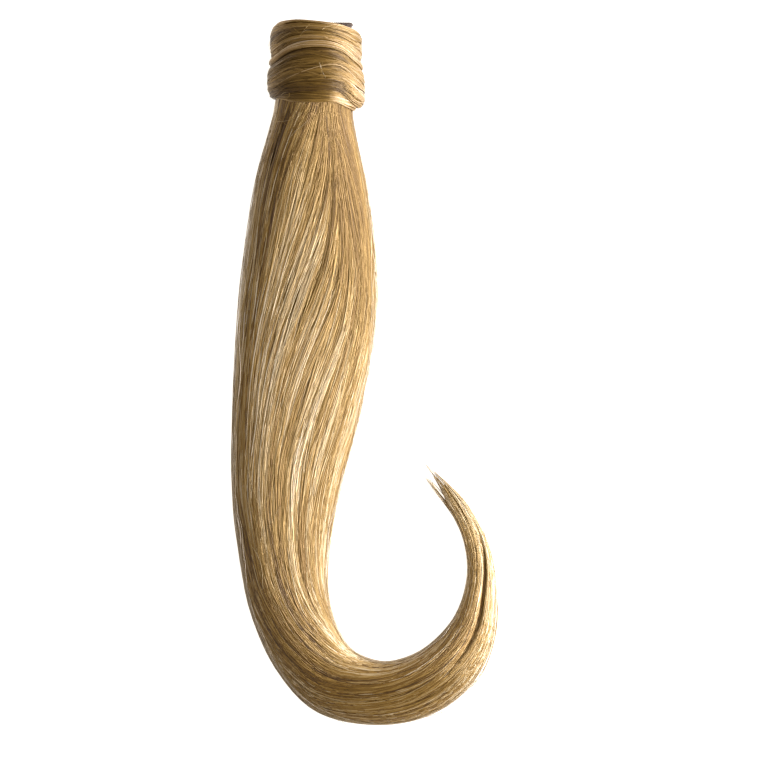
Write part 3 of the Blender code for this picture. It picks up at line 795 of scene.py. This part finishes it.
def end_of_strands(rng, tail, count):
    """How far each strand reaches, so that the bundle thins as its section does."""
    fine = np.linspace(0.6, 1.0, 200)
    half, thick = tail.size(fine * tail.length)
    area = (half * thick) ** 0.62
    area = np.minimum.accumulate(area / area[0])
    area = (area - area[-1]) / (area[0] - area[-1])
    return np.interp(rng.uniform(0.02, 1.0, count), area[::-1], fine[::-1])


def strand_pace(tail, points):
    """Places along a strand, from 0 to 1, closer together in the bend than before it."""
    fine = np.linspace(0, 1, 400)
    density = np.interp(fine * tail.length, *np.transpose(POINT_DENSITY))
    total = np.concatenate([[0.0], np.cumsum((density[1:] + density[:-1]) / 2)])
    return np.interp(np.linspace(0, 1, points), total / total[-1], fine)


def round_head(half_width, half_height, turn, y):
    """Points on an oval round the head's axis, at angles in radians and places y along it."""
    x = HEAD_X + half_width * np.cos(turn)
    z = np.maximum(HEAD_Z + half_height * np.sin(turn), LEAST_HEIGHT)
    return np.stack(np.broadcast_arrays(x, y, z), axis=-1)


def tail_core_rings(depth):
    """Rings of the dense inner hair that the strands lie on, and their tones."""
    tail = Tail()
    angles = np.arange(64) * 360 / 64
    count = len(angles)
    rings, tones = [], []
    # The inner hair is darker than the strands that lie on it: painted shade in the gaps between
    # them.
    for y, width, height in ((WAIST_TOP_Y, 21.0, 13.5), (160.0, 20.6, 13.1)):
        rings.append(round_head(width, height, np.radians(angles), y))
        tones.append(np.full(count, 0.25))
    for place in np.linspace(0, tail.length - 14, 112):
        half, _ = tail.size(np.array([place]))
        inset = depth * float(np.clip(half[0] / 20, 0.12, 1.0))
        rings.append(tail.surface(np.full(count, place), angles, np.full(count, inset)))
        tones.append(np.full(count, 0.28))
    return rings, tones


def edge_height(name, degrees):
    """Height of one edge of the wound hair at angles in degrees, closed round the head."""
    table = np.array(WINDING_EDGES, dtype=float)
    known, heights = table[:, 0], table[:, EDGE_COLUMNS.index(name)]
    knots = np.concatenate([known - 360, known, known + 360, known + 720])
    values = np.tile(heights, 4)[:, None]
    degrees = np.asarray(degrees, dtype=float)
    return read_table(knots, values, np.ravel(degrees))[:, 0].reshape(degrees.shape)


def turn_share(turn, way, column=0):
    """Share of a turn's width, or of its thickness, at ways along its section's outline."""
    width, thickness = 14.0, 5.0
    outline = np.array(turn[TURN_COLUMNS.index("section")], dtype=float)
    run = np.hypot(np.diff(outline[:, 0]) * width, np.diff(outline[:, 1]) * thickness)
    knots = np.concatenate([[0.0], np.cumsum(run)])
    return np.interp(way, knots / knots[-1], outline[:, column])


def bunching_and_highlight(degrees, start=0.70):
    """How much the turns bunch up at angles round the head, from 0 to 1 on the right. The same
    share places the painted highlight on the right of each turn.
    """
    return np.clip((np.cos(np.radians(degrees - 10)) - start) / 0.22, 0.0, 1.0)


def turn_surface(turn, degrees, way, depth):
    """Points on one turn of wound hair.

    degrees is the angle round the head, way is how far from its lower edge to its upper
    one along the outline of its section, and depth is how far under its surface.
    """
    _, _, inner, outer, bottom, top, *_ = turn
    share, thickness = turn_share(turn, way, 0), turn_share(turn, way, 1)
    full = np.sqrt(np.clip(1 - np.abs(2 * share - 1) ** 5, 0.06, 1.0))
    thickness = thickness + bunching_and_highlight(degrees) * np.maximum(full - thickness, 0)
    low = edge_height(bottom, degrees)
    high = edge_height(top, degrees) if top else np.full(np.shape(degrees), LOWER_BAND_TOP_Y)
    half_width = inner[0] + thickness * (outer[0] - inner[0]) - depth
    half_height = inner[1] + thickness * (outer[1] - inner[1]) - depth
    return round_head(half_width, half_height, np.radians(degrees), low + share * (high - low))


def wind_hair(rng, turn, settings):
    """Paths, radii and tones of the strands of one turn, which start and end underneath."""
    count = turn[TURN_COLUMNS.index("strands")]
    sweep = np.linspace(-92, 272, TURN_POINTS)
    way = np.sort(rng.uniform(0, 1, count))
    lane = np.minimum((way * TURN_LANES).astype(int), TURN_LANES - 1)
    drift = 0.035 * wander(rng, TURN_LANES, sweep, 300, 120)[lane]
    drift = drift + 0.028 * wander(rng, count, sweep, 220, 60)
    depth = rng.exponential(0.1, (count, 1)) + 0.2
    depth = depth + 0.10 * (1 + wander(rng, TURN_LANES, sweep, 360, 120)[lane])
    # One strand in ten lies on top and strays across the others.
    stray = rng.uniform(0, 1, (count, 1)) < 0.10
    drift = np.where(stray, 0.12 * wander(rng, count, sweep, 240, 110), drift)
    depth = np.where(stray, 0.12, depth)
    path = turn_surface(
        turn, np.tile(sweep, (count, 1)), np.clip(way[:, None] + drift, 0, 1), depth
    )
    radius = settings.strand_width / MM / 2 * rng.uniform(0.75, 1.15, (count, 1))
    share = turn_share(turn, way)
    # The turn's tones carry its painted light and shade.
    tone = np.interp(share, *np.transpose(turn[TURN_COLUMNS.index("tones")]))[:, None]
    pale, start = turn[TURN_COLUMNS.index("painted_highlight_tone") :]
    # Painted highlight: on the right the tone is raised towards the turn's pale tone.
    tone = tone + bunching_and_highlight(sweep, start)[None, :] * np.maximum(pale - tone, 0)
    tone = tone + 0.04 * rng.standard_normal(TURN_LANES)[lane][:, None]
    tone = tone + 0.10 * rng.standard_normal((count, 1)) + 0.04 * stray
    tone = tone + 0.05 * wander(rng, count, sweep, 150, 40)
    outward = path - np.array([HEAD_X, 0, HEAD_Z])
    outward[..., 1] = 0
    return path, outward, radius, tone


def turn_core_rings(turn, depth):
    """Sections of the dense hair inside a turn, one after another round the head."""
    rings = []
    inner = turn[TURN_COLUMNS.index("inner")]
    ways = np.linspace(0, 1, TURN_CORE_POINTS)
    for degree in np.arange(0, 360, 5.0):
        outside = turn_surface(turn, degree, ways, depth)
        edges = outside[[-1, 0], 1] + (-0.3, 0.3)
        inside = round_head(inner[0] + 0.05, inner[1] + 0.05, radians(degree), edges)
        rings.append(np.concatenate([outside, inside]))
    return rings


def band_rings(ribs):
    """Rings of a ribbed elastic band with a rolled rim at its mouth."""
    climb = np.linspace(BAND_END_Y, BAND_MOUTH_Y - 1.2, 2 * ribs + 1)
    roll = np.linspace(0, pi, 9)
    outline = [(-0.1 - 0.1 * (-1) ** i, y) for i, y in enumerate(climb)]
    outline += [(0.15 - 1.05 + 1.05 * cos(a), BAND_MOUTH_Y - 1.1 + 1.1 * sin(a)) for a in roll]
    outline += [(0.05 - BAND_WALL + 0.1 * (-1) ** i, y) for i, y in enumerate(climb[::-1])]
    out, y = np.transpose(outline)
    rings, columns = [], 120
    for i in range(columns):
        reach = out + 0.06 * (-1) ** i
        half_sizes = BAND_HALF_WIDTH + reach, BAND_HALF_THICKNESS + reach
        rings.append(round_head(*half_sizes, 2 * pi * i / columns, y))
    return rings


def stitch_paths(rng, count):
    """Thread that is whipped over the band's rim, one slanting stitch after another."""
    paths, outwards = [], []
    loop, middle_out, middle_y = 1.35, -0.9, BAND_MOUTH_Y - 1.3
    over = np.linspace(-0.15 * pi, 1.15 * pi, STITCH_POINTS)
    out = middle_out + loop * np.cos(over)
    y = middle_y + loop * np.sin(over)
    for i in range(count):
        lean = rng.uniform(0.6, 1.4)
        angles = 2 * pi * (i + lean * np.linspace(-0.35, 0.35, STITCH_POINTS)) / count
        path = round_head(BAND_HALF_WIDTH + out, BAND_HALF_THICKNESS + out, angles, y)
        half_sizes = BAND_HALF_WIDTH + middle_out, BAND_HALF_THICKNESS + middle_out
        paths.append(path)
        outwards.append(path - round_head(*half_sizes, angles, middle_y))
    return np.array(paths), np.array(outwards)


def comb_paths():
    """The comb's spine and teeth, as tubes that lie on the band's inner wall."""
    half_width = BAND_HALF_WIDTH - BAND_WALL - 0.3 - COMB_THICKNESS / 2
    half_height = BAND_HALF_THICKNESS - BAND_WALL - 0.3 - COMB_THICKNESS / 2

    def lift(x):
        return HEAD_Z + half_height * np.sqrt(1 - (x / half_width) ** 2)

    pitch = COMB_WIDTH / (COMB_TEETH - 0.5)
    along = np.linspace(0, 1, COMB_TUBE_POINTS)
    paths, radii = [], []
    for row in np.arange(0.7, COMB_SPINE, 0.9):
        x = (along - 0.5) * (COMB_WIDTH - 1.2)
        paths.append(np.column_stack([HEAD_X + x, 0 * x + COMB_TOP_Y - row, lift(x)]))
        radii.append(np.minimum(COMB_THICKNESS / 2, 0.3 + 40 * along * (1 - along)))
    for tooth in range(COMB_TEETH):
        x = np.full(COMB_TUBE_POINTS, -COMB_WIDTH / 2 + pitch * (tooth + 0.25))
        y = COMB_TOP_Y - 1.0 - along * (COMB_SPINE + COMB_TOOTH_LENGTH - 1.4)
        paths.append(np.column_stack([HEAD_X + x, y, lift(x)]))
        width = np.interp(along, [0, 0.65, 0.97, 1], [1.0, 1.0, 0.55, 0.2])
        radii.append(COMB_THICKNESS / 2 * width)
    return np.array(paths), np.array(radii)


def height_of_hair(x, y):
    """Height of the dressed hair over a place, or None beside it, in millimetres."""
    scene = bpy.context.scene
    start = (Vector((x, y, 0)) + Vector(DRAWN_TO_MODEL)) * MM
    start.z = 0.2
    view = bpy.context.evaluated_depsgraph_get()
    hit, spot, *_ = scene.ray_cast(view, start, Vector((0, 0, -1)))
    return spot.z / MM - DRAWN_TO_MODEL[2] if hit else None


def loose_hair_paths():
    """Paths of the hairs that have come loose, laid over the hair where the photo has them."""
    paths = []
    for beside, _, points in LOOSE_HAIRS:
        spots = np.array(points, dtype=float)
        spots = (spots - PHOTO_ORIGIN) * (PHOTO_MM_PER_PIXEL, -PHOTO_MM_PER_PIXEL)
        knots = np.linspace(0, 1, len(spots))
        path = read_table(knots, spots, np.linspace(0, 1, LOOSE_HAIR_POINTS))
        heights = [height_of_hair(x, y) for x, y in path]
        heights = [beside if height is None else height + 0.12 for height in heights]
        padded = np.pad(heights, 2, mode="edge")
        heights = np.mean([padded[i : i + LOOSE_HAIR_POINTS] for i in range(5)], axis=0)
        paths.append(np.column_stack([path, np.maximum(heights, beside)]))
    return np.array(paths)


def edge_hair_paths(rng, count):
    """Paths of short hairs that stand a little off the tail's two edges."""
    tail = Tail()
    start = rng.uniform(5, tail.length - 130, (count, 1))
    along = start + rng.uniform(50, 120, (count, 1)) * np.linspace(0, 1, LOOSE_HAIR_POINTS)
    side = np.where(rng.uniform(0, 1, (count, 1)) < 0.55, 172.0, 8.0)
    angle = side + rng.uniform(-14, 14, (count, 1)) + 8 * wander(rng, count, along[0], 120, 50)
    off = rng.uniform(0.0, 0.45, (count, 1)) * np.sin(np.linspace(0.1, 2.4, LOOSE_HAIR_POINTS))
    half, _ = tail.size(along)
    return tail.surface(along, angle, -off * np.clip(half / 20, 0.2, 1.0))


class HairpieceTailSettings(bpy.types.PropertyGroup):
    strands: IntProperty(
        name="Strands", description="Number of strands in the tail", default=2750, min=200
    )
    locks: IntProperty(
        name="Locks", description="Locks that the strands fall into", default=34, min=6
    )
    points: IntProperty(
        name="Points", description="Points along each strand", default=44, min=12
    )
    seed: IntProperty(name="Seed", description="Start of the random layout", default=7)
    strand_width: FloatProperty(
        name="Strand width", description="Width of one strand of a few hairs",
        default=0.42 * MM, unit="LENGTH", subtype="DISTANCE",
    )
    loose_hairs: IntProperty(
        name="Loose hairs", description="Hairs that stand off the edges", default=160, min=0
    )
    groove: FloatProperty(
        name="Groove", description="Depth between locks, in millimetres", default=0.40
    )


class HairpieceWrapSettings(bpy.types.PropertyGroup):
    seed: IntProperty(name="Seed", description="Start of the random layout", default=11)
    strand_width: FloatProperty(
        name="Strand width", description="Width of one strand of a few hairs",
        default=0.44 * MM, unit="LENGTH", subtype="DISTANCE",
    )


class HairpieceStudioSettings(bpy.types.PropertyGroup):
    key_power: FloatProperty(
        name="Key power", description="Power of the large soft light on the right",
        default=40.0, unit="POWER",
    )
    key_colour: FloatVectorProperty(
        name="Key colour", description="Colour of the large soft light", size=3,
        default=(0.97, 0.98, 1.0), subtype="COLOR", min=0.0, max=1.0,
    )
    room_light: FloatProperty(
        name="Room light", description="Strength of the light from all round", default=0.31
    )
    floor_glow: FloatProperty(
        name="Floor glow", description="Light that the white table gives out", default=1.12
    )


class HAIRPIECE_OT_tail(bpy.types.Operator):
    """Adds the long loose hair: its dense core and its strands"""

    bl_idname = "hairpiece.tail"
    bl_label = "Tail"

    def execute(self, context):
        settings = context.scene.hairpiece_tail
        core_hair = blonde_hair_material("inner_blonde_hair", TAIL_TONES, 0.8, 0.0)
        hair = blonde_hair_material("smooth_blonde_hair", TAIL_TONES, 0.36, 1.0)
        rings, tones = tail_core_rings(TAIL_CORE_DEPTH)
        core = ring_mesh("tail_core", rings, tones, closed=False)
        add_piece("tail_core", core, core_hair, "tail_hair", "tail")
        grown = grow_tail_hair(settings)
        bounds = np.linspace(0, len(grown[0]), TAIL_PIECES + 1).astype(int)
        for i, (first, last) in enumerate(zip(bounds, bounds[1:])):
            name = f"tail_hair_{i + 1}"
            mesh = tube_mesh(name, *[part[first:last] for part in grown])
            add_piece(name, mesh, hair, "tail_hair", "tail")
        return {"FINISHED"}


class HAIRPIECE_OT_wrap(bpy.types.Operator):
    """Adds the four turns of hair that are wound round the head"""

    bl_idname = "hairpiece.wrap"
    bl_label = "Wound hair"

    def execute(self, context):
        settings = context.scene.hairpiece_wrap
        rng = np.random.default_rng(settings.seed)
        core_hair = blonde_hair_material("inner_wound_hair", WRAP_TONES, 0.8, 0.0)
        hair = blonde_hair_material("wound_blonde_hair", WRAP_TONES, 0.33, 0.7)
        for turn in TURNS:
            node = turn[TURN_COLUMNS.index("node")]
            rings = turn_core_rings(turn, TURN_CORE_DEPTH)
            # The inner hair is given a dark tone: painted shade in the gaps between the strands.
            core = ring_mesh(f"{node}_core", rings, 0.2, closed=True)
            add_piece(f"{node}_core", core, core_hair, "wrap_hair", node)
            mesh = tube_mesh(f"{node}_hair", *wind_hair(rng, turn, settings))
            add_piece(f"{node}_hair", mesh, hair, "wrap_hair", node)
        return {"FINISHED"}


class HAIRPIECE_OT_base_band(bpy.types.Operator):
    """Dresses the woven band that closes round the wearer's own ponytail"""

    bl_idname = "hairpiece.base_band"
    bl_label = "Base band"

    def execute(self, context):
        rng = np.random.default_rng(context.scene.hairpiece_wrap.seed + 1)
        material = woven_elastic_material()
        mesh = ring_mesh("base_band_weave", band_rings(BAND_RIBS), 0.5, closed=True)
        add_piece("base_band_weave", mesh, material, "woven_band", "base_band")
        paths, outwards = stitch_paths(rng, BAND_STITCHES)
        mesh = tube_mesh("base_band_stitches", paths, outwards, THREAD_RADIUS, 0.7, sides=5)
        add_piece("base_band_stitches", mesh, sewing_thread_material(), "woven_band", "base_band")
        return {"FINISHED"}


class HAIRPIECE_OT_comb(bpy.types.Operator):
    """Adds the moulded comb, with its spine and teeth"""

    bl_idname = "hairpiece.comb"
    bl_label = "Comb"

    def execute(self, context):
        paths, radii = comb_paths()
        mesh = tube_mesh("comb_moulding", paths, (0, 0, 1), radii, 0.5, sides=10)
        add_piece("comb_moulding", mesh, moulded_acetate_material(), "comb_plastic", "comb")
        return {"FINISHED"}


class HAIRPIECE_OT_loose_hairs(bpy.types.Operator):
    """Adds the fine hairs that have come loose from the tail and the wound hair"""

    bl_idname = "hairpiece.loose_hairs"
    bl_label = "Loose hairs"

    def execute(self, context):
        settings = context.scene.hairpiece_tail
        rng = np.random.default_rng(settings.seed + 2)
        hair = blonde_hair_material("loose_blonde_hair", TAIL_TONES, 0.36, 1.0)
        drawn = loose_hair_paths()
        paths = np.concatenate([drawn, edge_hair_paths(rng, settings.loose_hairs)])
        along = np.linspace(0, 1, LOOSE_HAIR_POINTS)
        taper = np.interp(along, [0, 0.1, 0.75, 1], [0.5, 1, 1, 0.3])
        widths = [width for _, width, _ in LOOSE_HAIRS]
        widths += [EDGE_HAIR_WIDTH] * settings.loose_hairs
        radii = np.array(widths)[:, None] / 2 * rng.uniform(0.8, 1.2, (len(paths), 1)) * taper
        paths[..., 2] = np.maximum(paths[..., 2], radii)
        tones = rng.uniform(0.4, 0.8, (len(paths), 1))
        # The hairs off the edges are paler: a painted pale rim along the outlines.
        tones[len(drawn) :] += 0.2
        mesh = tube_mesh("loose_hairs", paths, (0, 0, 1), radii, tones)
        add_piece("loose_hairs", mesh, hair, "tail_hair", "tail")
        return {"FINISHED"}


class HAIRPIECE_OT_studio(bpy.types.Operator):
    """Adds the white table, the lights and the camera above"""

    bl_idname = "hairpiece.studio"
    bl_label = "Studio"

    def execute(self, context):
        settings = context.scene.hairpiece_studio
        scene = context.scene
        bpy.ops.mesh.primitive_plane_add(size=6.0, location=(0, 0, 0))
        floor = context.object
        floor.name = "white_table"
        material, _, shader = new_material("white_table_laminate")
        shader.inputs["Base Color"].default_value = linear_colour("#a0a0a0")
        shader.inputs["Roughness"].default_value = 0.9
        shader.inputs["Specular IOR Level"].default_value = 0.1
        shader.inputs["Emission Color"].default_value = (1.0, 0.95, 0.87, 1.0)
        shader.inputs["Emission Strength"].default_value = settings.floor_glow
        floor.data.materials.append(material)

        world = bpy.data.worlds.new("studio_room")
        world.use_nodes = True
        background = world.node_tree.nodes["Background"]
        background.inputs["Color"].default_value = (1.0, 0.95, 0.88, 1.0)
        background.inputs["Strength"].default_value = settings.room_light
        scene.world = world

        self.add_softbox(
            scene, "key_softbox", place=(0.90, 0.12, 0.50), aim=(0.0, 0.12, 0.14),
            size=(1.7, 0.9), power=settings.key_power, colour=settings.key_colour,
        )
        self.add_camera(scene)
        scene.view_settings.view_transform = "Standard"
        scene.cycles.denoising_prefilter = "NONE"
        return {"FINISHED"}

    @staticmethod
    def add_softbox(scene, name, place, aim, size, power, colour):
        """A large rectangular light that points at a place."""
        light = bpy.data.lights.new(name, "AREA")
        light.shape = "RECTANGLE"
        light.size, light.size_y = size
        light.energy = power
        light.color = colour
        lamp = bpy.data.objects.new(name, light)
        lamp.location = place
        direction = Vector(aim) - Vector(place)
        lamp.rotation_euler = direction.to_track_quat("-Z", "Y").to_euler()
        scene.collection.objects.link(lamp)

    @staticmethod
    def add_camera(scene):
        """A long lens straight above, framed as the photo is."""
        middle = PHOTO_SIZE / 2
        view_x = (middle - PHOTO_ORIGIN[0]) * PHOTO_MM_PER_PIXEL + DRAWN_TO_MODEL[0]
        view_y = (PHOTO_ORIGIN[1] - middle) * PHOTO_MM_PER_PIXEL + DRAWN_TO_MODEL[1]
        height = 9.0
        focus_height = 0.012
        camera = bpy.data.cameras.new("camera_above")
        view_width = PHOTO_SIZE * PHOTO_MM_PER_PIXEL * MM
        camera.sensor_width = 36.0
        camera.sensor_fit = "HORIZONTAL"
        camera.angle = 2 * atan(view_width / 2 / (height - focus_height))
        camera.clip_end = 20.0
        rig = bpy.data.objects.new("camera_above", camera)
        rig.location = (view_x * MM, view_y * MM, height)
        scene.collection.objects.link(rig)
        scene.camera = rig


class HAIRPIECE_PT_panel(bpy.types.Panel):
    """Lists the hairpiece's pieces and their settings"""

    bl_idname = "HAIRPIECE_PT_panel"
    bl_label = "Hairpiece"
    bl_space_type = "VIEW_3D"
    bl_region_type = "UI"
    bl_category = "Hairpiece"

    def draw(self, context):
        layout = self.layout
        for operator in OPERATORS:
            layout.operator(operator.bl_idname)
        for name in ("strands", "locks", "points", "strand_width", "groove", "loose_hairs"):
            layout.prop(context.scene.hairpiece_tail, name)
        layout.prop(context.scene.hairpiece_wrap, "strand_width")
        for name in ("key_power", "key_colour", "room_light", "floor_glow"):
            layout.prop(context.scene.hairpiece_studio, name)


OPERATORS = (
    HAIRPIECE_OT_tail,
    HAIRPIECE_OT_wrap,
    HAIRPIECE_OT_base_band,
    HAIRPIECE_OT_comb,
    HAIRPIECE_OT_loose_hairs,
    HAIRPIECE_OT_studio,
)
SETTINGS = {
    "hairpiece_tail": HairpieceTailSettings,
    "hairpiece_wrap": HairpieceWrapSettings,
    "hairpiece_studio": HairpieceStudioSettings,
}


def register():
    for kind in SETTINGS.values():
        bpy.utils.register_class(kind)
    for kind in OPERATORS + (HAIRPIECE_PT_panel,):
        bpy.utils.register_class(kind)
    for name, kind in SETTINGS.items():
        setattr(bpy.types.Scene, name, PointerProperty(type=kind))


def unregister():
    for name in SETTINGS:
        delattr(bpy.types.Scene, name)
    for kind in (HAIRPIECE_PT_panel,) + OPERATORS[::-1]:
        bpy.utils.unregister_class(kind)
    for kind in SETTINGS.values():
        bpy.utils.unregister_class(kind)


def main():
    register()
    bpy.ops.hairpiece.tail()
    bpy.ops.hairpiece.wrap()
    bpy.ops.hairpiece.base_band()
    bpy.ops.hairpiece.comb()
    bpy.ops.hairpiece.loose_hairs()
    bpy.ops.hairpiece.studio()


if __name__ == "__main__":
    main()
